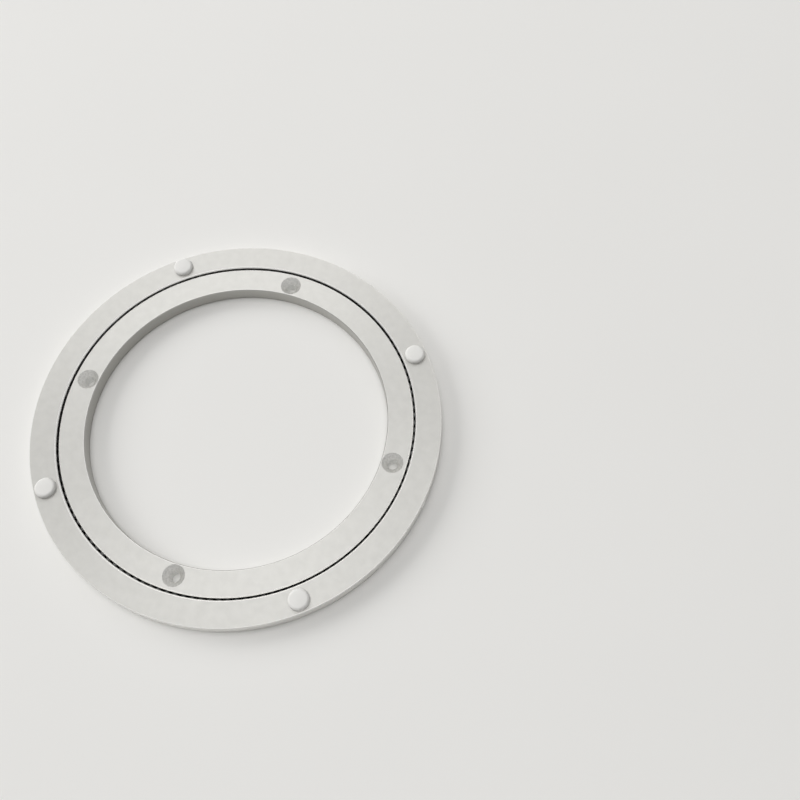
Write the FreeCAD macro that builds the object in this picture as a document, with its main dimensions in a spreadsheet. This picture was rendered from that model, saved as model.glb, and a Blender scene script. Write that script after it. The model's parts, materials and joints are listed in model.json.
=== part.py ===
import FreeCAD, Part
import itertools
import math
import os
import Sketcher

# Lazy susan bearing: two flat aluminium rings, one inside the other, that turn on a full row of balls.
# The inner ring is screwed down. The outer ring carries the tray on four round pads.
# Millimetres and degrees. +Z is up, the axis of rotation, and Z = 0 is the underside of the inner ring.
# +X runs through the middle of one screw hole.

doc = FreeCAD.newDocument("lazy_susan_bearing")

# Driving dimensions
DIMENSIONS = {
    # rings
    "gap_diameter": 173.8,  # middle of the gap, and the circle of the ball centres
    "gap_width": 1.0,
    "inner_ring_width": 12.65,
    "outer_ring_width": 12.6,
    "ring_height": 8.0,
    "outer_ring_raise": 0.3,  # the outer ring stands this much higher, so it clears the table top
    "rim_bevel": 0.5,
    "gap_bevel": 0.5,
    "bore_bevel": 0.4,
    "under_bevel": 0.3,
    # race and balls
    "race_angle": 90.0,  # included angle of the V that is turned in each ring
    "race_clearance": 0.05,
    "ball_diameter": 4.0,
    "ball_spacing": 0.04,  # least room between one ball and the next
    "ball_sets": 15,
    # screw holes of the inner ring
    "screw_count": 4,
    "screw_shift": 0.575,  # from the middle of the ring's face towards the bore
    "screw_hole_diameter": 5.0,
    "countersink_diameter": 10.4,
    "countersink_angle": 90.0,
    # pads of the outer ring
    "pad_count": 4,
    "pad_shift": 0.3,  # from the middle of the ring's face towards the rim
    "pad_diameter": 10.0,
    "pad_height": 2.5,
    "pad_bevel": 0.8,
    "stem_diameter": 5.0,
    "stem_length": 4.0,
    "stem_clearance": 0.05,
    "stem_end_room": 0.3,
    # filling hole and its plug
    "filling_room": 0.3,  # the hole is this much wider than a ball
    "plug_clearance": 0.02,
    "plug_recess": 0.4,
    "plug_bevel": 0.3,
    "mouth_bevel": 0.4,
    "plug_turn": -46.5,  # from the first pad
    # how far the outer ring is turned from the first screw hole
    "outer_ring_turn": 38.2,
}

# Places that follow from the dimensions, each written once
PLACES = {
    # walls and faces of the two rings
    "ball_circle": "dims.gap_diameter / 2",
    "inner_wall": "ball_circle - dims.gap_width / 2",
    "outer_wall": "ball_circle + dims.gap_width / 2",
    "bore": "inner_wall - dims.inner_ring_width",
    "rim": "outer_wall + dims.outer_ring_width",
    "inner_top": "dims.ring_height",
    "outer_foot": "dims.outer_ring_raise",
    "outer_top": "dims.outer_ring_raise + dims.ring_height",
    # the V of the race: its root, and where its flanks meet the walls of the gap
    "ball_level": "(dims.outer_ring_raise + dims.ring_height) / 2",
    "root_reach": "(dims.ball_diameter / 2 + dims.race_clearance) / sin(dims.race_angle / 2 * 1 deg)",
    "inner_root": "ball_circle - root_reach",
    "outer_root": "ball_circle + root_reach",
    "mouth_rise": "(root_reach - dims.gap_width / 2) * tan(dims.race_angle / 2 * 1 deg)",
    "race_high": "ball_level + mouth_rise",
    "race_low": "ball_level - mouth_rise",
    "ball_count": "floor(pi * dims.gap_diameter / (dims.ball_diameter + dims.ball_spacing))",
    # bevelled corners of the inner ring
    "bore_edge": "bore + dims.bore_bevel",
    "bore_low": "dims.bore_bevel",
    "bore_high": "inner_top - dims.bore_bevel",
    "inner_edge": "inner_wall - dims.gap_bevel",
    "inner_high": "inner_top - dims.gap_bevel",
    "inner_under_edge": "inner_wall - dims.under_bevel",
    "inner_low": "dims.under_bevel",
    # bevelled corners of the outer ring
    "rim_edge": "rim - dims.rim_bevel",
    "rim_low": "outer_foot + dims.rim_bevel",
    "rim_high": "outer_top - dims.rim_bevel",
    "outer_edge": "outer_wall + dims.gap_bevel",
    "outer_high": "outer_top - dims.gap_bevel",
    "outer_under_edge": "outer_wall + dims.under_bevel",
    "outer_low": "outer_foot + dims.under_bevel",
    # screw holes and pads
    "screw_circle": "(bore + inner_wall) / 2 - dims.screw_shift",
    "screw_bore": "dims.screw_hole_diameter / 2",
    "pad_circle": "(outer_wall + rim) / 2 + dims.pad_shift",
    "pad_radius": "dims.pad_diameter / 2",
    "pad_top_edge": "pad_radius - dims.pad_bevel",
    "pad_foot": "outer_top - dims.stem_length",
    "pad_seat": "dims.stem_length",
    "pad_top": "dims.stem_length + dims.pad_height",
    "pad_shoulder": "pad_top - dims.pad_bevel",
    "stem_radius": "dims.stem_diameter / 2",
    "stem_hole": "stem_radius + dims.stem_clearance",
    "stem_hole_depth": "dims.stem_length + dims.stem_end_room",
    # filling hole and plug, along the radius that they lie on
    "filling_radius": "(dims.ball_diameter + dims.filling_room) / 2",
    "mouth_start": "rim - dims.mouth_bevel",
    "mouth_end": "rim + dims.mouth_bevel",
    "mouth_radius": "filling_radius + 2 * dims.mouth_bevel",
    "plug_radius": "filling_radius - dims.plug_clearance",
    "plug_face": "rim - dims.plug_recess",
    "plug_shoulder": "plug_face - dims.plug_bevel",
    "plug_face_edge": "plug_radius - dims.plug_bevel",
    "wedge_rise": "root_reach * tan(dims.race_angle / 2 * 1 deg)",
    "wedge_high": "ball_level + wedge_rise",
    "wedge_low": "ball_level - wedge_rise",
}


def make_sheet():
    sheet = doc.addObject("Spreadsheet::Sheet", "dims")
    for row, (name, value) in enumerate(DIMENSIONS.items(), start=1):
        sheet.set(f"A{row}", name)
        sheet.set(f"B{row}", str(value))
        sheet.setAlias(f"B{row}", name)
    doc.recompute()
    return sheet


def make_places():
    values = doc.addObject("App::VarSet", "places")
    for name, formula in PLACES.items():
        values.addProperty("App::PropertyFloat", name, "Places")
        values.setExpression(name, formula)
    doc.recompute()
    return values


dims = make_sheet()
places = make_places()
sub_parts = []


def new_sub_part(kind, node):
    sub_part = doc.addObject(kind, node)
    sub_part.Label = node
    sub_parts.append(sub_part)
    return sub_part


def new_sketch(body, name, plane):
    """Sketch on one of the body's own origin planes."""
    sketch = body.newObject("Sketcher::SketchObject", name)
    for feature in body.Origin.OriginFeatures:
        if feature.Role == plane:
            sketch.AttachmentSupport = [(feature, "")]
    sketch.MapMode = "FlatFace"
    return sketch


def place_value(place):
    return 0.0 if place is None else getattr(places, place)


def pin_point(sketch, line, direction, place):
    """Holds a line's start at a named place, or on the axis where the place is None."""
    if place is None:
        axis = -2 if direction == "DistanceX" else -1
        sketch.addConstraint(Sketcher.Constraint("PointOnObject", line, 1, axis))
    else:
        distance = Sketcher.Constraint(direction, -1, 1, line, 1, place_value(place))
        index = sketch.addConstraint(distance)
        sketch.setExpression(f"Constraints[{index}]", f"places.{place}")


def draw_outline(sketch, corners):
    """Closed outline through named places, each corner given as (across, up)."""
    points = [FreeCAD.Vector(place_value(across), place_value(up), 0) for across, up in corners]
    for start, end in zip(points, points[1:] + points[:1]):
        sketch.addGeometry(Part.LineSegment(start, end))
    for line in range(len(points)):
        after = (line + 1) % len(points)
        sketch.addConstraint(Sketcher.Constraint("Coincident", line, 2, after, 1))
    for line, (across, up) in enumerate(corners):
        pin_point(sketch, line, "DistanceX", across)
        pin_point(sketch, line, "DistanceY", up)
    doc.recompute()


def draw_circle(sketch, across, radius):
    """Circle on the sketch's horizontal axis, at a named distance from the origin."""
    centre = FreeCAD.Vector(place_value(across), 0, 0)
    size = place_value(radius)
    sketch.addGeometry(Part.Circle(centre, FreeCAD.Vector(0, 0, 1), size))
    sketch.addConstraint(Sketcher.Constraint("PointOnObject", 0, 3, -1))
    place = sketch.addConstraint(Sketcher.Constraint("DistanceX", -1, 1, 0, 3, centre.x))
    sketch.setExpression(f"Constraints[{place}]", f"places.{across}")
    width = sketch.addConstraint(Sketcher.Constraint("Radius", 0, size))
    sketch.setExpression(f"Constraints[{width}]", f"places.{radius}")
    sketch.Visibility = False
    doc.recompute()


def turn_outline(body, kind, name, sketch, axis):
    """Revolution or Groove of a sketch, all the way round one of its own axes."""
    feature = body.newObject(f"PartDesign::{kind}", name)
    feature.Profile = sketch
    feature.ReferenceAxis = (sketch, [axis])
    feature.Angle = 360
    sketch.Visibility = False
    doc.recompute()


def repeat_round(body, name, feature, sketch, count):
    """Polar pattern of one feature about the axis of the rings."""
    pattern = body.newObject("PartDesign::PolarPattern", name)
    pattern.Originals = [feature]
    pattern.Axis = (sketch, ["N_Axis"])
    pattern.Angle = 360
    pattern.setExpression("Occurrences", count)
    body.Tip = pattern
    doc.recompute()


def turn_body(body, turn, radius=None, level=None):
    """Turns a body about the axis of the rings, and moves it out to a radius and up to a level."""
    upright = FreeCAD.Rotation(FreeCAD.Vector(0, 0, 1), 0)
    body.Placement = FreeCAD.Placement(FreeCAD.Vector(), upright)
    body.setExpression("Placement.Rotation.Angle", turn)
    if radius:
        body.setExpression("Placement.Base.x", f"{radius} * cos(({turn}) * 1 deg)")
        body.setExpression("Placement.Base.y", f"{radius} * sin(({turn}) * 1 deg)")
    if level:
        body.setExpression("Placement.Base.z", level)


def make_inner_ring():
    """Fixed ring: V race in its outer wall, countersunk screw holes through its face."""
    body = new_sub_part("PartDesign::Body", "inner_ring")
    section = new_sketch(body, "inner_section", "XZ_Plane")
    corners = [
        ("bore_edge", None),
        ("inner_under_edge", None),
        ("inner_wall", "inner_low"),
        ("inner_wall", "race_low"),
        ("inner_root", "ball_level"),
        ("inner_wall", "race_high"),
        ("inner_wall", "inner_high"),
        ("inner_edge", "inner_top"),
        ("bore_edge", "inner_top"),
        ("bore", "bore_high"),
        ("bore", "bore_low"),
    ]
    draw_outline(section, corners)
    turn_outline(body, "Revolution", "inner_turning", section, "V_Axis")

    centre = new_sketch(body, "screw_centre", "XY_Plane")
    centre.setExpression("AttachmentOffset.Base.z", "places.inner_top")
    draw_circle(centre, "screw_circle", "screw_bore")
    hole = body.newObject("PartDesign::Hole", "screw_hole")
    hole.Profile = centre
    doc.recompute()
    hole.Threaded = False
    hole.ThreadType = "None"
    hole.DepthType = "ThroughAll"
    hole.setExpression("Diameter", "dims.screw_hole_diameter")
    hole.HoleCutType = "Countersink"
    hole.HoleCutCustomValues = True
    hole.setExpression("HoleCutDiameter", "dims.countersink_diameter")
    hole.setExpression("HoleCutCountersinkAngle", "dims.countersink_angle")
    doc.recompute()
    repeat_round(body, "screw_holes", hole, centre, "dims.screw_count")


def make_outer_ring():
    """Turning ring: V race in its inner wall, filling hole through its rim, blind holes for the pads."""
    body = new_sub_part("PartDesign::Body", "outer_ring")
    section = new_sketch(body, "outer_section", "XZ_Plane")
    corners = [
        ("outer_under_edge", "outer_foot"),
        ("rim_edge", "outer_foot"),
        ("rim", "rim_low"),
        ("rim", "rim_high"),
        ("rim_edge", "outer_top"),
        ("outer_edge", "outer_top"),
        ("outer_wall", "outer_high"),
        ("outer_wall", "race_high"),
        ("outer_root", "ball_level"),
        ("outer_wall", "race_low"),
        ("outer_wall", "outer_low"),
    ]
    draw_outline(section, corners)
    turn_outline(body, "Revolution", "outer_turning", section, "V_Axis")

    # the filling hole lies along a radius, so its sketch plane is turned to that radius
    filling = new_sketch(body, "filling_section", "XZ_Plane")
    about_ring_axis = FreeCAD.Rotation(FreeCAD.Vector(0, 1, 0), 0)
    filling.AttachmentOffset = FreeCAD.Placement(FreeCAD.Vector(), about_ring_axis)
    filling.setExpression("AttachmentOffset.Rotation.Angle", "dims.plug_turn")
    filling.setExpression("AttachmentOffset.Base.y", "places.ball_level")
    corners = [
        ("ball_circle", None),
        ("mouth_end", None),
        ("mouth_end", "mouth_radius"),
        ("mouth_start", "filling_radius"),
        ("ball_circle", "filling_radius"),
    ]
    draw_outline(filling, corners)
    turn_outline(body, "Groove", "filling_hole", filling, "H_Axis")

    centre = new_sketch(body, "stem_centre", "XY_Plane")
    centre.setExpression("AttachmentOffset.Base.z", "places.outer_top")
    draw_circle(centre, "pad_circle", "stem_hole")
    stem_hole = body.newObject("PartDesign::Pocket", "stem_hole")
    stem_hole.Profile = centre
    stem_hole.setExpression("Length", "places.stem_hole_depth")
    doc.recompute()
    repeat_round(body, "stem_holes", stem_hole, centre, "dims.pad_count")
    turn_body(body, "dims.outer_ring_turn")


def make_filling_plug():
    """Plug of the filling hole. Its inner end is cut with the race, so the balls roll past it."""
    body = new_sub_part("PartDesign::Body", "filling_plug")
    section = new_sketch(body, "plug_section", "XZ_Plane")
    section.setExpression("AttachmentOffset.Base.y", "places.ball_level")
    corners = [
        ("outer_wall", None),
        ("plug_face", None),
        ("plug_face", "plug_face_edge"),
        ("plug_shoulder", "plug_radius"),
        ("outer_wall", "plug_radius"),
    ]
    draw_outline(section, corners)
    turn_outline(body, "Revolution", "plug_turning", section, "H_Axis")

    wedge = new_sketch(body, "race_wedge", "XZ_Plane")
    corners = [
        ("ball_circle", "wedge_low"),
        ("outer_root", "ball_level"),
        ("ball_circle", "wedge_high"),
    ]
    draw_outline(wedge, corners)
    turn_outline(body, "Groove", "plug_race", wedge, "V_Axis")
    turn_body(body, "dims.outer_ring_turn + dims.plug_turn")


def make_pad(number):
    """Round pad on a stem. The stem sits in its blind hole, and the cap rests on the ring's face."""
    body = new_sub_part("PartDesign::Body", f"pad_{number}")
    section = new_sketch(body, f"pad_section_{number}", "XZ_Plane")
    corners = [
        (None, None),
        ("stem_radius", None),
        ("stem_radius", "pad_seat"),
        ("pad_radius", "pad_seat"),
        ("pad_radius", "pad_shoulder"),
        ("pad_top_edge", "pad_top"),
        (None, "pad_top"),
    ]
    draw_outline(section, corners)
    turn_outline(body, "Revolution", f"pad_turning_{number}", section, "V_Axis")
    turn = f"dims.outer_ring_turn + {number - 1} * 360 / dims.pad_count"
    turn_body(body, turn, "places.pad_circle", "places.pad_foot")


def make_ball():
    """Ball with twenty flat faces. Its twelve corners lie on the surface of the round ball."""
    golden = (1 + math.sqrt(5)) / 2
    near = dims.ball_diameter / 2 / math.hypot(1, golden)
    far = near * golden
    corners = []
    for a, b in itertools.product((-near, near), (-far, far)):
        corners += [FreeCAD.Vector(0, a, b), FreeCAD.Vector(a, b, 0), FreeCAD.Vector(b, 0, a)]
    edge = 2 * near
    faces = []
    for trio in itertools.combinations(corners, 3):
        sides = [trio[i].distanceToPoint(trio[i - 1]) for i in range(3)]
        if max(sides) < 1.1 * edge:
            faces.append(Part.Face(Part.makePolygon([*trio, trio[0]])))
    return Part.Solid(Part.Shell(faces))


def make_ball_set(number, ball):
    """One ball in every so many of the row, so that each set reaches all the way round."""
    row = []
    for index in range(number - 1, int(places.ball_count), int(dims.ball_sets)):
        one = ball.copy()
        one.translate(FreeCAD.Vector(places.ball_circle, 0, 0))
        one.rotate(FreeCAD.Vector(), FreeCAD.Vector(0, 0, 1), index * 360 / places.ball_count)
        row.append(one)
    balls = new_sub_part("Part::Feature", f"ball_set_{number:02d}")
    balls.Shape = Part.Compound(row)
    balls.Placement = FreeCAD.Placement(FreeCAD.Vector(0, 0, places.ball_level), FreeCAD.Rotation())


make_inner_ring()
make_outer_ring()
make_filling_plug()
for pad_number in range(1, int(dims.pad_count) + 1):
    make_pad(pad_number)
round_ball = make_ball()
for set_number in range(1, int(dims.ball_sets) + 1):
    make_ball_set(set_number, round_ball)
doc.recompute()

# Every object and every shape is sound before anything is written
for item in doc.Objects:
    if "Invalid" in item.State or "Error" in item.State:
        raise RuntimeError(f"{item.Name} failed: {item.State}")
for sub_part in sub_parts:
    shape = sub_part.Shape
    if shape.isNull() or not shape.isValid():
        raise RuntimeError(f"{sub_part.Label} has no sound shape")
    print(f"{sub_part.Label}: {len(shape.Solids)} solids, {shape.Volume:.1f} cubic mm")

os.makedirs("parts", exist_ok=True)
for sub_part in sub_parts:
    sub_part.Shape.exportStep(f"parts/{sub_part.Label}.step")
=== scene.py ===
import json
import math

import bmesh
import bpy
from mathutils import Matrix, Vector


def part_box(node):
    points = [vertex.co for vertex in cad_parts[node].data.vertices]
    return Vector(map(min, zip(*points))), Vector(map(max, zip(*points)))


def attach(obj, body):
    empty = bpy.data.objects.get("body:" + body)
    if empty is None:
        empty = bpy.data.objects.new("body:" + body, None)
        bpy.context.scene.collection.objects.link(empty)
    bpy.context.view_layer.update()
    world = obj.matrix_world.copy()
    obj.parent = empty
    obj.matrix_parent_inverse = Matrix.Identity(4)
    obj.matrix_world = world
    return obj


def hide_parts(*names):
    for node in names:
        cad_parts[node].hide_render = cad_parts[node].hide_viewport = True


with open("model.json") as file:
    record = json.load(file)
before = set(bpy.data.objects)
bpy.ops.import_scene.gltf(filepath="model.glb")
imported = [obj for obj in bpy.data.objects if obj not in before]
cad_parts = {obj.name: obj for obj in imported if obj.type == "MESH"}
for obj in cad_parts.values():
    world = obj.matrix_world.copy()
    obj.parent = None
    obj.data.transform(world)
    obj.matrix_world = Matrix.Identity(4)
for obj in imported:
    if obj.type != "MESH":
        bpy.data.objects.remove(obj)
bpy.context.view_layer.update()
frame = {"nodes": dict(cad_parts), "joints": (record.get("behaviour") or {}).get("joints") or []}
mm = 0.001
fullTurn = 2 * math.pi
near = 0.01  # mm; a point this close to a place lies on it
facing = 0.9  # a face whose normal has more than this along an axis looks that way
ballLevel = frame["joints"][0]["pos_m"][2] / mm  # height of the ball centres
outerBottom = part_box("outer_ring")[0].z / mm
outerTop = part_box("outer_ring")[1].z / mm
print("frame loaded,", len(frame["nodes"]), "solids")


# modelling steps


def makeActive(piece):
    if bpy.context.object and bpy.context.object.mode == "EDIT":
        bpy.ops.object.mode_set(mode="OBJECT")
    bpy.ops.object.select_all(action="DESELECT")
    piece.select_set(True)
    bpy.context.view_layer.objects.active = piece


def newPiece(name, addPrimitive, stretch=(1, 1, 1), **settings):
    # adds the primitive at its place, stretches it, and leaves it open in edit mode
    bpy.ops.object.select_all(action="DESELECT")
    addPrimitive(**settings)
    piece = bpy.context.object
    piece.name = piece.data.name = name
    piece.scale = stretch
    bpy.ops.object.transform_apply(location=True, rotation=True, scale=True)
    bpy.ops.object.mode_set(mode="EDIT")
    bpy.context.tool_settings.mesh_select_mode = (True, False, False)
    return piece


def pickPoints(piece, test):
    # selects the vertices whose place in mm passes the test
    mesh = bmesh.from_edit_mesh(piece.data)
    for point in mesh.verts:
        point.select = test(*(point.co / mm))
    mesh.select_flush_mode()
    bmesh.update_edit_mesh(piece.data)


def pickFaces(piece, test):
    # selects the faces whose middle in mm and normal pass the test
    bpy.ops.mesh.select_all(action="DESELECT")
    mesh = bmesh.from_edit_mesh(piece.data)
    for face in mesh.faces:
        if test(face.calc_center_median() / mm, face.normal):
            face.select_set(True)
    bmesh.update_edit_mesh(piece.data)


def move(x=0, y=0, z=0):
    bpy.ops.transform.translate(value=(x * mm, y * mm, z * mm))


def widen(factors, middle):
    bpy.ops.transform.resize(value=factors, center_override=[c * mm for c in middle])


def extrude(x=0, y=0, z=0):
    bpy.ops.mesh.extrude_region()
    move(x, y, z)


def mergePoints(reach):
    # makes one of the points that lie closer than reach, in mm
    bpy.ops.mesh.select_all(action="SELECT")
    bpy.ops.mesh.remove_doubles(threshold=reach * mm)


def closeShell():
    # doubles merged, and all faces turned outwards
    mergePoints(reach=0.0005)
    bpy.ops.mesh.normals_make_consistent(inside=False)


def applyLast(piece):
    bpy.ops.object.modifier_apply(modifier=piece.modifiers[-1].name)


def useCutter(piece, cutter, operation="DIFFERENCE"):
    makeActive(piece)
    bpy.ops.object.modifier_add(type="BOOLEAN")
    piece.modifiers[-1].operation = operation
    piece.modifiers[-1].solver = "EXACT"
    piece.modifiers[-1].object = cutter
    applyLast(piece)
    bpy.data.objects.remove(cutter)
    # the cut leaves some points all but on each other, which would leave the mesh open
    bpy.ops.object.mode_set(mode="EDIT")
    mergePoints(reach=0.001)
    bpy.ops.object.mode_set(mode="OBJECT")


def shadeTurned(piece, sharpFrom=28):
    # curved walls smooth, flat faces truly flat, edges from this many degrees sharp
    makeActive(piece)
    bpy.ops.object.shade_smooth_by_angle(angle=math.radians(sharpFrom))
    bpy.ops.object.modifier_add(type="WEIGHTED_NORMAL")
    piece.modifiers[-1].keep_sharp = True
    applyLast(piece)


def turnPiece(piece, degrees):
    # round the axis of the bearing
    makeActive(piece)
    piece.rotation_euler.z = math.radians(degrees)
    bpy.ops.object.transform_apply(location=False, rotation=True, scale=False)


def copyTurned(piece, name, degrees):
    # a twin with its own mesh
    makeActive(piece)
    bpy.ops.object.duplicate(linked=False)
    twin = bpy.context.object
    twin.name = twin.data.name = name
    turnPiece(twin, degrees)
    return twin


def repeatRound(count):
    # all that is in the mesh, repeated at even steps round the axis of the bearing
    bpy.ops.mesh.select_all(action="SELECT")
    share = fullTurn * (count - 1) / count
    bpy.ops.mesh.spin(steps=count - 1, dupli=True, angle=share, center=(0, 0, 0), axis=(0, 0, 1))


def giveFinish(piece, finish, test=None):
    # the first finish covers the piece, a later one the faces that its test picks
    makeActive(piece)
    piece.data.materials.append(finish)
    if test:
        bpy.ops.object.mode_set(mode="EDIT")
        pickFaces(piece, test)
        piece.active_material_index = len(piece.data.materials) - 1
        bpy.ops.object.material_slot_assign()
        bpy.ops.object.mode_set(mode="OBJECT")


# finishes


def hexColour(code):
    # sRGB hex code to the linear values that Blender works with
    parts = [int(code[i : i + 2], 16) / 255 for i in (1, 3, 5)]
    linear = [c / 12.92 if c <= 0.04045 else ((c + 0.055) / 1.055) ** 2.4 for c in parts]
    return (*linear, 1)


def addNode(tree, kind, settings={}, links={}):
    # an int names a socket by its place
    node = tree.nodes.new(kind)
    for name, value in settings.items():
        if isinstance(name, int) or name in node.inputs:
            node.inputs[name].default_value = value
        else:
            setattr(node, name, value)
    for name, source in links.items():
        tree.links.new(source, node.inputs[name])
    return node


def newFinish(name):
    finish = bpy.data.materials.new(name)
    finish.use_nodes = True
    finish.node_tree.nodes.clear()
    place = addNode(finish.node_tree, "ShaderNodeTexCoord")
    return finish, finish.node_tree, place.outputs["Object"]


blasted = {
    "light": "#d3d2ce",
    "dark": "#cfceca",
    "roughness": 0.55,
    "uneven": 0.008,  # of the roughness
    "grain": 0.75,  # how much the turning under the blasting still spreads light across its rings
    "grit": 0.35,  # mm; real grit marks are under 0.1 mm, drawn coarser to show
    "gritDepth": 0.004,  # mm
    "cloud": 4,  # mm; faint uneven tone that the blast nozzle leaves
}
blastedOuter = {**blasted, "light": "#cfceca", "dark": "#cbcac6"}  # a shade greyer


def makeBlastedAluminium(name, values):
    # blasted, then clear anodised aluminium: silvery and soft, with no sharp reflection
    finish, tree, place = newFinish(name)
    cloud = addNode(
        tree,
        "ShaderNodeTexNoise",
        {"Scale": 1 / (values["cloud"] * mm), "Detail": 3, "Roughness": 0.55},
        {"Vector": place},
    )
    spread = addNode(
        tree,
        "ShaderNodeMapRange",
        {"From Min": 0.3, "From Max": 0.7},
        {"Value": cloud.outputs["Fac"]},
    )
    tone = addNode(
        tree,
        "ShaderNodeMix",
        {"data_type": "RGBA", 6: hexColour(values["dark"]), 7: hexColour(values["light"])},
        {0: spread.outputs["Result"]},
    )
    gloss = addNode(
        tree,
        "ShaderNodeMapRange",
        {
            "To Min": values["roughness"] + values["uneven"],
            "To Max": values["roughness"] - values["uneven"],
        },
        {"Value": spread.outputs["Result"]},
    )
    grit = addNode(
        tree,
        "ShaderNodeTexNoise",
        {"Scale": 1 / (values["grit"] * mm), "Detail": 2, "Roughness": 0.6},
        {"Vector": place},
    )
    bump = addNode(
        tree,
        "ShaderNodeBump",
        {"Strength": 1, "Distance": values["gritDepth"] * mm},
        {"Height": grit.outputs["Fac"]},
    )
    shader = addNode(
        tree,
        "ShaderNodeBsdfPrincipled",
        {"Metallic": 1, "Anisotropic": values["grain"]},
        {
            "Base Color": tone.outputs[2],
            "Roughness": gloss.outputs["Result"],
            "Normal": bump.outputs["Normal"],
            "Tangent": place,  # outwards from the axis, across the rings of the turning
        },
    )
    addNode(tree, "ShaderNodeOutputMaterial", {}, {"Surface": shader.outputs["BSDF"]})
    return finish


turned = {  # rim and gap walls: near white, partly the turned aluminium's own shine and partly a painted reflection of bright light on the rim
    "light": "#f2f1ee",
    "dark": "#e6e5e2",
    "roughness": 0.3,
    "feed": 0.22,  # mm between tool marks; a fine cut has 0.1, drawn coarser to show
    "feedDepth": 0.003,  # mm
}
boreWallPaintedShade = {**turned, "light": "#c1c0bc", "dark": "#aeada9"}  # darker than the turned finish: painted shade on the bore wall, which faces away from the light
bevelled = {**turned, "light": "#f2f1ee", "dark": "#e8e7e4", "roughness": 0.25}


def makeTurnedAluminium(name, values):
    # turned on a lathe, then clear anodised: fine level rings that shine along their length
    finish, tree, place = newFinish(name)
    parts = addNode(tree, "ShaderNodeSeparateXYZ", {}, {"Vector": place})
    rings = addNode(
        tree,
        "ShaderNodeTexNoise",
        {"noise_dimensions": "1D", "Scale": 1 / (values["feed"] * mm), "Detail": 2},
        {"W": parts.outputs["Z"]},
    )
    tone = addNode(
        tree,
        "ShaderNodeMix",
        {"data_type": "RGBA", 6: hexColour(values["dark"]), 7: hexColour(values["light"])},
        {0: rings.outputs["Fac"]},
    )
    bump = addNode(
        tree,
        "ShaderNodeBump",
        {"Strength": 1, "Distance": values["feedDepth"] * mm},
        {"Height": rings.outputs["Fac"]},
    )
    shader = addNode(
        tree,
        "ShaderNodeBsdfPrincipled",
        {"Metallic": 1, "Roughness": values["roughness"]},
        {"Base Color": tone.outputs[2], "Normal": bump.outputs["Normal"]},
    )
    addNode(tree, "ShaderNodeOutputMaterial", {}, {"Surface": shader.outputs["BSDF"]})
    return finish


sunk = {  # screw holes
    "light": "#e2e1de",
    "dark": "#c5c4c0",
    "roughness": 0.5,
    "chatter": 0.9,  # mm, the blotches that a chattering countersink leaves
    "drilledLight": "#fafaf8",  # these four: the straight hole below, drawn near white and matt as painted light that brightens the hole
    "drilledDark": "#f4f4f2",
    "drilledRoughness": 0.3,
    "drilledMetal": 0.0,  # drawn as no mirror, so that its wall scatters light down to the table
}


def makeCountersunkAluminium():
    # cut with a countersink after the blasting: greyer, with faint blotches
    finish, tree, place = newFinish("countersunkAluminium")
    blotch = addNode(
        tree,
        "ShaderNodeTexNoise",
        {"Scale": 1 / (sunk["chatter"] * mm), "Detail": 3, "Roughness": 0.65},
        {"Vector": place},
    )
    spread = addNode(
        tree,
        "ShaderNodeMapRange",
        {"From Min": 0.32, "From Max": 0.68},
        {"Value": blotch.outputs["Fac"]},
    )
    tone = addNode(
        tree,
        "ShaderNodeMix",
        {"data_type": "RGBA", 6: hexColour(sunk["dark"]), 7: hexColour(sunk["light"])},
        {0: spread.outputs["Result"]},
    )
    shader = addNode(
        tree,
        "ShaderNodeBsdfPrincipled",
        {"Metallic": 1, "Roughness": sunk["roughness"]},
        {"Base Color": tone.outputs[2]},
    )
    addNode(tree, "ShaderNodeOutputMaterial", {}, {"Surface": shader.outputs["BSDF"]})
    return finish


def makeDrilledWallPaintedLight():
    # drilled and reamed, with faint level rings; its near-white tone is painted light that makes the
    # hole look bright
    finish, tree, place = newFinish("drilledWallPaintedLight")
    parts = addNode(tree, "ShaderNodeSeparateXYZ", {}, {"Vector": place})
    rings = addNode(
        tree,
        "ShaderNodeTexNoise",
        {"noise_dimensions": "1D", "Scale": 1 / (turned["feed"] * mm), "Detail": 2},
        {"W": parts.outputs["Z"]},
    )
    tone = addNode(
        tree,
        "ShaderNodeMix",
        {
            "data_type": "RGBA",
            6: hexColour(sunk["drilledDark"]),
            7: hexColour(sunk["drilledLight"]),
        },
        {0: rings.outputs["Fac"]},
    )
    shader = addNode(
        tree,
        "ShaderNodeBsdfPrincipled",
        {"Metallic": sunk["drilledMetal"], "Roughness": sunk["drilledRoughness"]},
        {"Base Color": tone.outputs[2]},
    )
    addNode(tree, "ShaderNodeOutputMaterial", {}, {"Surface": shader.outputs["BSDF"]})
    return finish


pinStock = {
    "light": "#cac9c6",
    "dark": "#aaa9a6",
    "roughness": 0.34,
    "feed": 0.18,  # mm between the tool marks on its end
}


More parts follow.
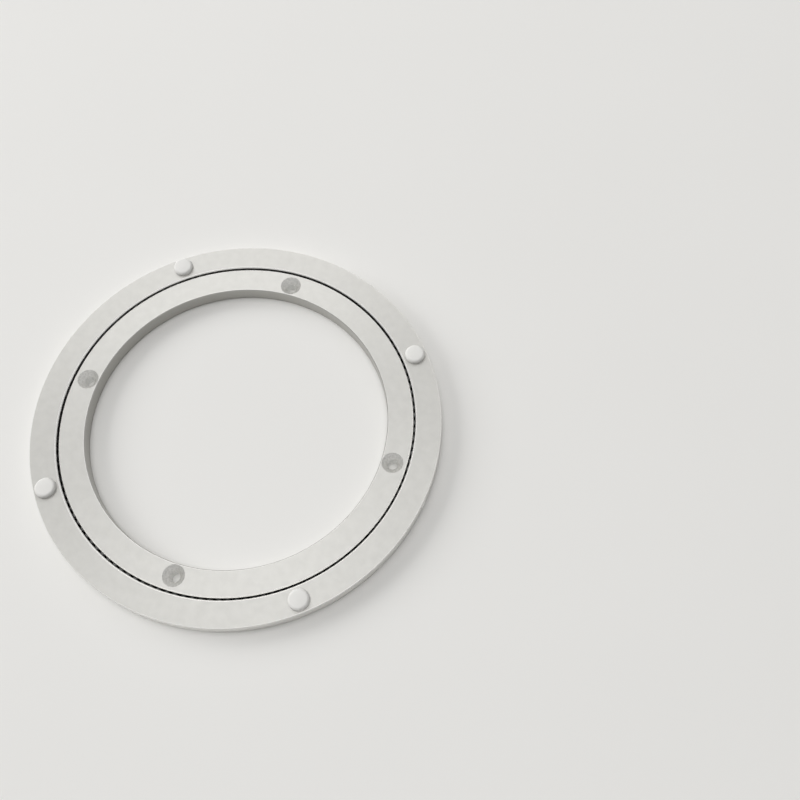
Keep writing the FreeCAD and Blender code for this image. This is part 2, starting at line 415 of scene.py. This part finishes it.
def makeTurnedPin(turn):
    # bar parted off in a lathe: fine rings round the plug's own axis, which lies along turn
    finish, tree, place = newFinish("partedOffAluminiumPin")
    own = addNode(
        tree,
        "ShaderNodeMapping",
        {
            "vector_type": "TEXTURE",
            "Location": (0, 0, ballLevel * mm),
            "Rotation": (0, 0, math.radians(turn)),
            "Scale": (1e6, 1, 1),  # along the pin nothing changes
        },
        {"Vector": place},
    )
    reach = addNode(tree, "ShaderNodeVectorMath", {"operation": "LENGTH"}, {0: own.outputs[0]})
    rings = addNode(
        tree,
        "ShaderNodeTexNoise",
        {"noise_dimensions": "1D", "Scale": 1 / (pinStock["feed"] * mm), "Detail": 2},
        {"W": reach.outputs["Value"]},
    )
    tone = addNode(
        tree,
        "ShaderNodeMix",
        {"data_type": "RGBA", 6: hexColour(pinStock["dark"]), 7: hexColour(pinStock["light"])},
        {0: rings.outputs["Fac"]},
    )
    shader = addNode(
        tree,
        "ShaderNodeBsdfPrincipled",
        {"Metallic": 1, "Roughness": pinStock["roughness"]},
        {"Base Color": tone.outputs[2]},
    )
    addNode(tree, "ShaderNodeOutputMaterial", {}, {"Surface": shader.outputs["BSDF"]})
    return finish


# dark tones: painted shade of the narrow gap the balls sit in
steel = {
    "light": "#5f6060",
    "dark": "#464645",
    "roughness": 0.3,
    "tonePatch": 1.5,  # mm; size of the faint tone patches
}


def makeBallSteelPaintedShade():
    # lapped bearing steel, its colour darkened as painted shade so that the balls stay dark in the gap,
    # with only a soft glint
    finish, tree, place = newFinish("bearingSteelPaintedShade")
    tonePatch = addNode(
        tree,
        "ShaderNodeTexNoise",
        {"Scale": 1 / (steel["tonePatch"] * mm), "Detail": 1},
        {"Vector": place},
    )
    tone = addNode(
        tree,
        "ShaderNodeMix",
        {"data_type": "RGBA", 6: hexColour(steel["dark"]), 7: hexColour(steel["light"])},
        {0: tonePatch.outputs["Fac"]},
    )
    shader = addNode(
        tree,
        "ShaderNodeBsdfPrincipled",
        {"Metallic": 1, "Roughness": steel["roughness"]},
        {"Base Color": tone.outputs[2]},
    )
    addNode(tree, "ShaderNodeOutputMaterial", {}, {"Surface": shader.outputs["BSDF"]})
    return finish


rubber = {
    "light": "#efeeeb",
    "dark": "#e8e7e3",
    "roughness": 0.5,
    "grain": 0.3,  # mm; skin of the spark-eroded mould
    "grainDepth": 0.008,  # mm
    "cloud": 4,  # mm
}


def makeMouldedRubber():
    # moulded off-white rubber: matt, with a faint sheen on its round edge
    finish, tree, place = newFinish("mouldedWhiteRubber")
    cloud = addNode(
        tree,
        "ShaderNodeTexNoise",
        {"Scale": 1 / (rubber["cloud"] * mm), "Detail": 2},
        {"Vector": place},
    )
    tone = addNode(
        tree,
        "ShaderNodeMix",
        {"data_type": "RGBA", 6: hexColour(rubber["dark"]), 7: hexColour(rubber["light"])},
        {0: cloud.outputs["Fac"]},
    )
    grain = addNode(
        tree,
        "ShaderNodeTexNoise",
        {"Scale": 1 / (rubber["grain"] * mm), "Detail": 2},
        {"Vector": place},
    )
    bump = addNode(
        tree,
        "ShaderNodeBump",
        {"Strength": 1, "Distance": rubber["grainDepth"] * mm},
        {"Height": grain.outputs["Fac"]},
    )
    shader = addNode(
        tree,
        "ShaderNodeBsdfPrincipled",
        {"Roughness": rubber["roughness"], "IOR": 1.5},
        {"Base Color": tone.outputs[2], "Normal": bump.outputs["Normal"]},
    )
    addNode(tree, "ShaderNodeOutputMaterial", {}, {"Surface": shader.outputs["BSDF"]})
    return finish


blastedAluminium = makeBlastedAluminium("blastedAnodisedAluminium", blasted)
blastedOuterAluminium = makeBlastedAluminium("blastedOuterAluminium", blastedOuter)
# near white: partly the metal's own tone, partly a painted reflection on the rim wall
turnedAluminiumWithPaintedReflection = makeTurnedAluminium("turnedAnodisedAluminiumWithPaintedReflection", turned)
# a darker copy of the turned finish: painted shade for the bore wall
boreAluminiumPaintedShade = makeTurnedAluminium("boreAnodisedAluminiumPaintedShade", boreWallPaintedShade)
bevelAluminium = makeTurnedAluminium("bevelledAnodisedAluminium", bevelled)
countersunkAluminium = makeCountersunkAluminium()
# near white and matt: painted light in the screw holes
drilledWallPaintedLight = makeDrilledWallPaintedLight()
# ball steel darkened: painted shade in the gap
ballSteelPaintedShade = makeBallSteelPaintedShade()
mouldedRubber = makeMouldedRubber()
print("finishes made")


# both rings: an upright section, spun; radii and heights in mm, heights from the table

section = {
    "steps": 720,
    "raceCircle": 86.9,
    "raceDepth": 2.899,  # ball circle to bottom of the V: ball and clearance, 2.05, by root 2
    "edgeRound": 0.07,  # the tiny round that the anodising bath leaves on an edge
    "bevelUp": (0.4, 0.95),  # how much a bevel's normal points up
    "bevelAbove": 3,  # the upper bevels lie more than this above the ball centres
    "flatUp": 0.995,  # how much a flat face's normal points up or down, at least
}


def isBevel(middle, normal):
    # the turned bevels beside the gap and round the bore and the rim, on the upper side
    low, high = section["bevelUp"]
    return low < normal.z < high and middle.z > ballLevel + section["bevelAbove"]


def isFlat(middle, normal):
    # the flat face above and the one below
    return abs(normal.z) > section["flatUp"]


def makeRing(name, inner, outer, bottom, top, raceWall, raceBottom, chamfers):
    middle = (bottom + top) / 2

    def onWall(x, z, low, high):
        # on the wall that gets the race, between two heights
        return abs(x - raceWall) < near and low < z < high

    piece = newPiece(
        name,
        bpy.ops.mesh.primitive_plane_add,
        ((outer - inner) * mm, (top - bottom) * mm, 1),
        size=1,
        location=((inner + outer) / 2 * mm, 0, middle * mm),
        rotation=(math.pi / 2, 0, 0),
    )
    bpy.ops.mesh.delete(type="ONLY_FACE")  # its outline is spun, not its face
    # 90 degree V race: three points on one wall, spread to its mouth, the middle one pushed in
    pickPoints(piece, lambda x, y, z: onWall(x, z, bottom - near, top + near))
    bpy.ops.mesh.subdivide(number_cuts=3)
    pickPoints(piece, lambda x, y, z: onWall(x, z, bottom + near, top - near))
    depth = abs(raceBottom - raceWall)
    quarter = (top - bottom) / 4  # the outer two of the three lie this far from the middle one
    widen((1, 1, depth / quarter), (raceWall, 0, middle))
    move(z=ballLevel - middle)
    pickPoints(piece, lambda x, y, z: onWall(x, z, ballLevel - near, ballLevel + near))
    move(x=raceBottom - raceWall)
    for cornerX, cornerZ, chamfer in chamfers:
        pickPoints(piece, lambda x, y, z: abs(x - cornerX) < near and abs(z - cornerZ) < near)
        bpy.ops.mesh.bevel(offset=chamfer * mm, segments=1, affect="VERTICES")
    bpy.ops.mesh.select_all(action="SELECT")
    bpy.ops.mesh.bevel(offset=section["edgeRound"] * mm, segments=2, affect="VERTICES")
    bpy.ops.mesh.select_all(action="SELECT")
    bpy.ops.mesh.spin(steps=section["steps"], angle=fullTurn, center=(0, 0, 0), axis=(0, 0, 1))
    closeShell()
    bpy.ops.object.mode_set(mode="OBJECT")
    return piece


innerRing = {
    "bore": 73.75,
    "wall": 86.4,
    "height": 8.0,
    "boreChamfer": 0.4,
    "boreShadeReach": 0.3,  # how far from the bore wall its painted shade goes, over the bevel
    "gapChamfer": 0.5,
    "underChamfer": 0.3,
    "holeCircle": 79.5,
    "holeCount": 4,
    "holeRadius": 2.5,
    "holeSides": 128,
    "sinkRadius": 5.2,  # mouth of the 90 degree countersink
    "sinkMargin": 0.05,  # how far past the mouth a face still counts as the hole's
    "sinkUp": 0.1,  # the cone's normal points up more than this, that of the drilled wall less
    "sinkBreak": 0.06,  # depth of its broken edge; the cutter rises this far above the face
    "sinkFlare": 0.2,  # and is this much wider there than the mouth, in radius
    "overrun": 2,  # how far the drill reaches past the ring
}


def makeInnerRing():
    ring = innerRing
    piece = makeRing(
        "innerRing",
        ring["bore"],
        ring["wall"],
        0,
        ring["height"],
        ring["wall"],
        section["raceCircle"] - section["raceDepth"],
        [
            (ring["bore"], ring["height"], ring["boreChamfer"]),
            (ring["wall"], ring["height"], ring["gapChamfer"]),
            (ring["bore"], 0, ring["boreChamfer"]),
            (ring["wall"], 0, ring["underChamfer"]),
        ],
    )
    # screw holes: a drill with a 90 degree countersink above it
    shoulder = ring["height"] - (ring["sinkRadius"] - ring["holeRadius"])
    overrun = ring["overrun"]
    drill = newPiece(
        "drill",
        bpy.ops.mesh.primitive_cylinder_add,
        vertices=ring["holeSides"],
        radius=ring["holeRadius"] * mm,
        depth=(shoulder + overrun) * mm,
        location=(ring["holeCircle"] * mm, 0, (shoulder - overrun) / 2 * mm),
    )
    pickFaces(drill, lambda middle, normal: normal.z > facing)
    radius, height = ring["holeRadius"], shoulder
    broken = ring["sinkBreak"]
    coneEnd = (ring["sinkRadius"] - broken, ring["height"] - broken)
    breakEnd = (ring["sinkRadius"] + ring["sinkFlare"], ring["height"] + broken)
    for nextRadius, nextHeight in (coneEnd, breakEnd):
        extrude(z=nextHeight - height)
        widen((nextRadius / radius, nextRadius / radius, 1), (ring["holeCircle"], 0, 0))
        radius, height = nextRadius, nextHeight
    extrude(z=overrun)
    repeatRound(ring["holeCount"])
    closeShell()
    useCutter(piece, drill)
    shadeTurned(piece)

    def inHole(middle):
        # in plan, within the mouth of the nearest screw hole
        step = fullTurn / ring["holeCount"]
        turn = round(math.atan2(middle.y, middle.x) / step) * step
        hole = (ring["holeCircle"] * math.cos(turn), ring["holeCircle"] * math.sin(turn))
        return math.dist(middle.xy, hole) < ring["sinkRadius"] + ring["sinkMargin"]

    def isShadedBoreWall(middle, normal):
        return middle.xy.length < ring["bore"] + ring["boreShadeReach"]

    def isCone(middle, normal):
        return inHole(middle) and normal.z > ring["sinkUp"]

    def isDrilled(middle, normal):
        return inHole(middle) and normal.z < ring["sinkUp"]

    giveFinish(piece, turnedAluminiumWithPaintedReflection)
    giveFinish(piece, bevelAluminium, isBevel)
    # the bore wall gets the darker copy: painted shade
    giveFinish(piece, boreAluminiumPaintedShade, isShadedBoreWall)
    giveFinish(piece, countersunkAluminium, isCone)
    giveFinish(piece, drilledWallPaintedLight, isDrilled)
    giveFinish(piece, blastedAluminium, isFlat)
    return piece


outerRing = {
    "wall": 87.4,
    "rim": 100.0,
    "gapChamfer": 0.5,
    "rimChamfer": 0.3,
    "rimUnderChamfer": 0.5,
    "underChamfer": 0.3,
    "turn": 38.2,  # degrees, first pad
}


def makeOuterRing():
    ring = outerRing
    return makeRing(
        "outerRing",
        ring["wall"],
        ring["rim"],
        outerBottom,
        outerTop,
        ring["wall"],
        section["raceCircle"] + section["raceDepth"],
        [
            (ring["wall"], outerTop, ring["gapChamfer"]),
            (ring["rim"], outerTop, ring["rimChamfer"]),
            (ring["wall"], outerBottom, ring["underChamfer"]),
            (ring["rim"], outerBottom, ring["rimUnderChamfer"]),
        ],
    )


plug = {
    "turn": -46.5,  # degrees from the first pad, midway between two
    "radius": 2.13,
    "sides": 64,
    "face": 99.6,
    "edgeRound": 0.3,
    "holeRadius": 2.15,
    "holeSides": 96,
    "holeMouth": 0.4,
    "overrun": 1,  # how far the drill and the plug's blank reach past the gap wall
}


def makePlug(blankRing):
    # a pin cut by the ring itself, so that the V race runs on through its inner end
    inner = outerRing["wall"] - plug["overrun"]
    pin = newPiece(
        "fillingPlug",
        bpy.ops.mesh.primitive_cylinder_add,
        vertices=plug["sides"],
        radius=plug["radius"] * mm,
        depth=(plug["face"] - inner) * mm,
        location=((plug["face"] + inner) / 2 * mm, 0, ballLevel * mm),
        rotation=(0, math.pi / 2, 0),
    )
    pickFaces(pin, lambda middle, normal: normal.x > facing)
    bpy.ops.mesh.bevel(offset=plug["edgeRound"] * mm, segments=3, affect="EDGES")
    useCutter(pin, blankRing, "INTERSECT")
    turn = outerRing["turn"] + plug["turn"]
    turnPiece(pin, turn)
    shadeTurned(pin)
    giveFinish(pin, makeTurnedPin(turn))
    return pin


def cutOuterRing(piece):
    # blind holes for the pads' stems
    length = pad["holeDepth"] + pad["overrun"]
    drill = newPiece(
        "stemDrill",
        bpy.ops.mesh.primitive_cylinder_add,
        vertices=pad["holeSides"],
        radius=pad["holeRadius"] * mm,
        depth=length * mm,
        location=(pad["circle"] * mm, 0, (outerTop - pad["holeDepth"] + length / 2) * mm),
    )
    repeatRound(pad["count"])
    turnPiece(drill, outerRing["turn"])
    useCutter(piece, drill)
    # filling hole along a radius, with a chamfered mouth in the rim
    inner = outerRing["wall"] - plug["overrun"]
    mouthStart = outerRing["rim"] - plug["holeMouth"]
    filling = newPiece(
        "fillingDrill",
        bpy.ops.mesh.primitive_cylinder_add,
        vertices=plug["holeSides"],
        radius=plug["holeRadius"] * mm,
        depth=(mouthStart - inner) * mm,
        location=((mouthStart + inner) / 2 * mm, 0, ballLevel * mm),
        rotation=(0, math.pi / 2, 0),
    )
    pickFaces(filling, lambda middle, normal: normal.x > facing)
    extrude(x=2 * plug["holeMouth"])
    flare = 1 + 2 * plug["holeMouth"] / plug["holeRadius"]
    widen((1, flare, flare), (mouthStart, 0, ballLevel))
    turnPiece(filling, outerRing["turn"] + plug["turn"])
    useCutter(piece, filling)
    shadeTurned(piece)
    giveFinish(piece, turnedAluminiumWithPaintedReflection)
    giveFinish(piece, bevelAluminium, isBevel)
    giveFinish(piece, blastedOuterAluminium, isFlat)


pad = {
    "count": 4,
    "circle": 94.0,
    "radius": 5.0,
    "sides": 96,
    "height": 2.5,
    "edgeRound": 1.5,
    "crown": [(1.1, 0.08), (1.1, 0.05), (0.7, 0.02)],  # inset and rise, mm
    "crownUp": 0.999,  # only the flat top's normal points up more than this
    "footRound": 0.12,
    "sharpFrom": 40,  # degrees between two faces, from which their edge stays sharp
    "stemRadius": 2.5,
    "stemLength": 4.0,
    "stemRound": 0.4,
    "holeRadius": 2.55,
    "holeSides": 64,
    "holeDepth": 4.3,
    "overrun": 1,  # how far the stem drill reaches past the top face
}


def makePads():
    top = outerTop + pad["height"]
    flatTop = top - sum(rise for inset, rise in pad["crown"])
    model = newPiece(
        "padModel",
        bpy.ops.mesh.primitive_cylinder_add,
        vertices=pad["sides"],
        radius=pad["radius"] * mm,
        depth=(flatTop - outerTop) * mm,
        location=(pad["circle"] * mm, 0, (flatTop + outerTop) / 2 * mm),
    )
    # stem from the middle of the foot
    pickFaces(model, lambda middle, normal: normal.z < -facing)
    bpy.ops.mesh.inset(thickness=(pad["radius"] - pad["stemRadius"]) * mm)
    extrude(z=-pad["stemLength"])
    bpy.ops.mesh.bevel(offset=pad["stemRound"] * mm, segments=3, affect="EDGES")
    # foot edge, then the round top edge and the low crown
    pickPoints(
        model,
        lambda x, y, z: abs(z - outerTop) < near
        and math.hypot(x - pad["circle"], y) > pad["radius"] - near,
    )
    bpy.ops.mesh.bevel(offset=pad["footRound"] * mm, segments=2, affect="EDGES")
    pickFaces(model, lambda middle, normal: normal.z > facing)
    bpy.ops.mesh.bevel(offset=pad["edgeRound"] * mm, segments=8, affect="EDGES")
    pickFaces(model, lambda middle, normal: normal.z > pad["crownUp"])
    for inset, rise in pad["crown"]:
        bpy.ops.mesh.inset(thickness=inset * mm)
        move(z=rise)
    closeShell()
    shadeTurned(model, pad["sharpFrom"])
    giveFinish(model, mouldedRubber)
    pads = []
    for number in range(pad["count"]):
        turn = outerRing["turn"] + number * 360 / pad["count"]
        pads.append(copyTurned(model, f"pad{number + 1}", turn))
    bpy.data.objects.remove(model)
    return pads


balls = {"radius": 2.0, "count": 135, "sets": 15, "cuts": 2}


def makeBalls():
    # a cube with two cuts a side, cast to a sphere: 54 faces, for there are 135 balls
    model = newPiece("ballModel", bpy.ops.mesh.primitive_cube_add, size=2 * balls["radius"] * mm)
    bpy.ops.mesh.subdivide(number_cuts=balls["cuts"])
    bpy.ops.object.mode_set(mode="OBJECT")
    bpy.ops.object.modifier_add(type="CAST")
    cast = model.modifiers[-1]
    cast.factor = 1
    cast.use_radius_as_size = False
    cast.size = balls["radius"] * mm
    applyLast(model)
    model.location = (section["raceCircle"] * mm, 0, ballLevel * mm)
    bpy.ops.object.transform_apply(location=True, rotation=False, scale=False)
    # one set is every fifteenth ball of the row
    bpy.ops.object.mode_set(mode="EDIT")
    repeatRound(balls["count"] // balls["sets"])
    bpy.ops.mesh.select_all(action="SELECT")
    bpy.ops.mesh.normals_make_consistent(inside=False)
    bpy.ops.object.mode_set(mode="OBJECT")
    bpy.ops.object.shade_smooth()
    giveFinish(model, ballSteelPaintedShade)
    sets = []
    for number in range(balls["sets"]):
        turn = number * 360 / balls["count"]
        sets.append(copyTurned(model, f"ballSet{number + 1:02d}", turn))
    bpy.data.objects.remove(model)
    return sets


def standFor(piece, node, body):
    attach(piece, body)
    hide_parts(node)


standFor(makeInnerRing(), "inner_ring", "base")
print("inner ring made")
outerPiece = makeOuterRing()
blankRing = copyTurned(outerPiece, "blankRing", 0)  # a twin without holes, which cuts the plug
standFor(makePlug(blankRing), "filling_plug", "turntable")
cutOuterRing(outerPiece)
standFor(outerPiece, "outer_ring", "turntable")
print("outer ring and filling plug made")
for number, piece in enumerate(makePads(), 1):
    standFor(piece, f"pad_{number}", "turntable")
print("pads made")
for number, piece in enumerate(makeBalls(), 1):
    standFor(piece, f"ball_set_{number:02d}", "ball_row")
print("ball row made")


# table, light and camera

table = {
    "light": "#f4f3f0",
    "dark": "#f2f1ee",
    "cloud": 120,  # mm
    "size": 6000,  # mm
    "roughness": 0.55,
    "specular": 0.12,
    "drop": 0.02,  # mm under the ring, so that no two faces coincide
}


def makeTable():
    # pale laminate: even, matt, nothing to draw the eye
    finish, tree, place = newFinish("paleLaminate")
    cloud = addNode(
        tree,
        "ShaderNodeTexNoise",
        {"Scale": 1 / (table["cloud"] * mm), "Detail": 1},
        {"Vector": place},
    )
    tone = addNode(
        tree,
        "ShaderNodeMix",
        {"data_type": "RGBA", 6: hexColour(table["dark"]), 7: hexColour(table["light"])},
        {0: cloud.outputs["Fac"]},
    )
    shader = addNode(
        tree,
        "ShaderNodeBsdfPrincipled",
        {"Roughness": table["roughness"], "Specular IOR Level": table["specular"]},
        {"Base Color": tone.outputs[2]},
    )
    addNode(tree, "ShaderNodeOutputMaterial", {}, {"Surface": shader.outputs["BSDF"]})
    floor = newPiece(
        "floor",
        bpy.ops.mesh.primitive_plane_add,
        size=table["size"] * mm,
        location=(0, 0, -table["drop"] * mm),
    )
    bpy.ops.object.mode_set(mode="OBJECT")
    floor.data.materials.append(finish)


light = {
    "sky": 0.1,  # soft light from all round
    "mirrored": 0.66,  # how bright metal sees the room
    "backdrop": 0.84,  # how bright the camera sees it
    "colour": "#ffffff",
    "panels": [
        # name, place, aim, width, depth (mm), power (W), and whether it lights all or only what is matt
        ("backPanel", (-2630, 4130, 4110), (0, 0, 0), 7200, 4000, 100.6, "all"),
        ("sidePanel", (-5650, -150, 3000), (0, 0, 0), 4800, 3400, 232.5, "matt"),
        ("ceilingPanel", (-650, 40, 6770), (0, 0, 0), 6000, 5200, 119.2, "all"),
        ("ceilingCloth", (110, 50, 6800), (0, 0, 0), 3600, 3600, 86.7, "matt"),
    ],
}


def makeLight():
    world = bpy.data.worlds.new("softSky")
    world.use_nodes = True
    tree = world.node_tree
    tree.nodes.clear()
    ray = addNode(tree, "ShaderNodeLightPath")
    shiny = addNode(
        tree,
        "ShaderNodeMath",
        {"operation": "MAXIMUM"},
        {0: ray.outputs["Is Glossy Ray"], 1: ray.outputs["Is Transmission Ray"]},
    )
    lit, mirrored, backdrop = [
        addNode(tree, "ShaderNodeBackground", {"Color": (1, 1, 1, 1), "Strength": light[part]})
        for part in ("sky", "mirrored", "backdrop")
    ]
    onObject = addNode(
        tree,
        "ShaderNodeMixShader",
        {},
        {0: shiny.outputs[0], 1: lit.outputs[0], 2: mirrored.outputs[0]},
    )
    everywhere = addNode(
        tree,
        "ShaderNodeMixShader",
        {},
        {0: ray.outputs["Is Camera Ray"], 1: onObject.outputs[0], 2: backdrop.outputs[0]},
    )
    addNode(tree, "ShaderNodeOutputWorld", {}, {"Surface": everywhere.outputs[0]})
    bpy.context.scene.world = world
    for name, place, aim, width, depth, power, reach in light["panels"]:
        bpy.ops.object.light_add(type="AREA", location=Vector(place) * mm)
        panel = bpy.context.object
        panel.name = panel.data.name = name
        panel.rotation_euler = (Vector(aim) - Vector(place)).to_track_quat("-Z", "Y").to_euler()
        panel.data.shape = "RECTANGLE"
        panel.data.size = width * mm
        panel.data.size_y = depth * mm
        panel.data.energy = power
        panel.data.color = hexColour(light["colour"])[:3]
        panel.visible_glossy = reach == "all"


view = {
    "place": (127.2, -131.4, 390.4),  # mm
    "aim": (73.6, 32.4, 8.0),
    "roll": -1.79,  # degrees
    "lens": 38.38,
    "sensor": 36,
    "clipStart": 10,  # mm
}


def makeCamera():
    bpy.ops.object.camera_add(location=Vector(view["place"]) * mm)
    camera = bpy.context.object
    look = (Vector(view["aim"]) - Vector(view["place"])).to_track_quat("-Z", "Y")
    roll = Matrix.Rotation(math.radians(view["roll"]), 4, "Z")
    camera.rotation_euler = (look.to_matrix().to_4x4() @ roll).to_euler()
    camera.data.lens = view["lens"]
    camera.data.sensor_width = view["sensor"]
    camera.data.clip_start = view["clipStart"] * mm
    bpy.context.scene.camera = camera


makeTable()
makeLight()
makeCamera()
bpy.context.scene.view_settings.view_transform = "Standard"
print("table, light and camera set")
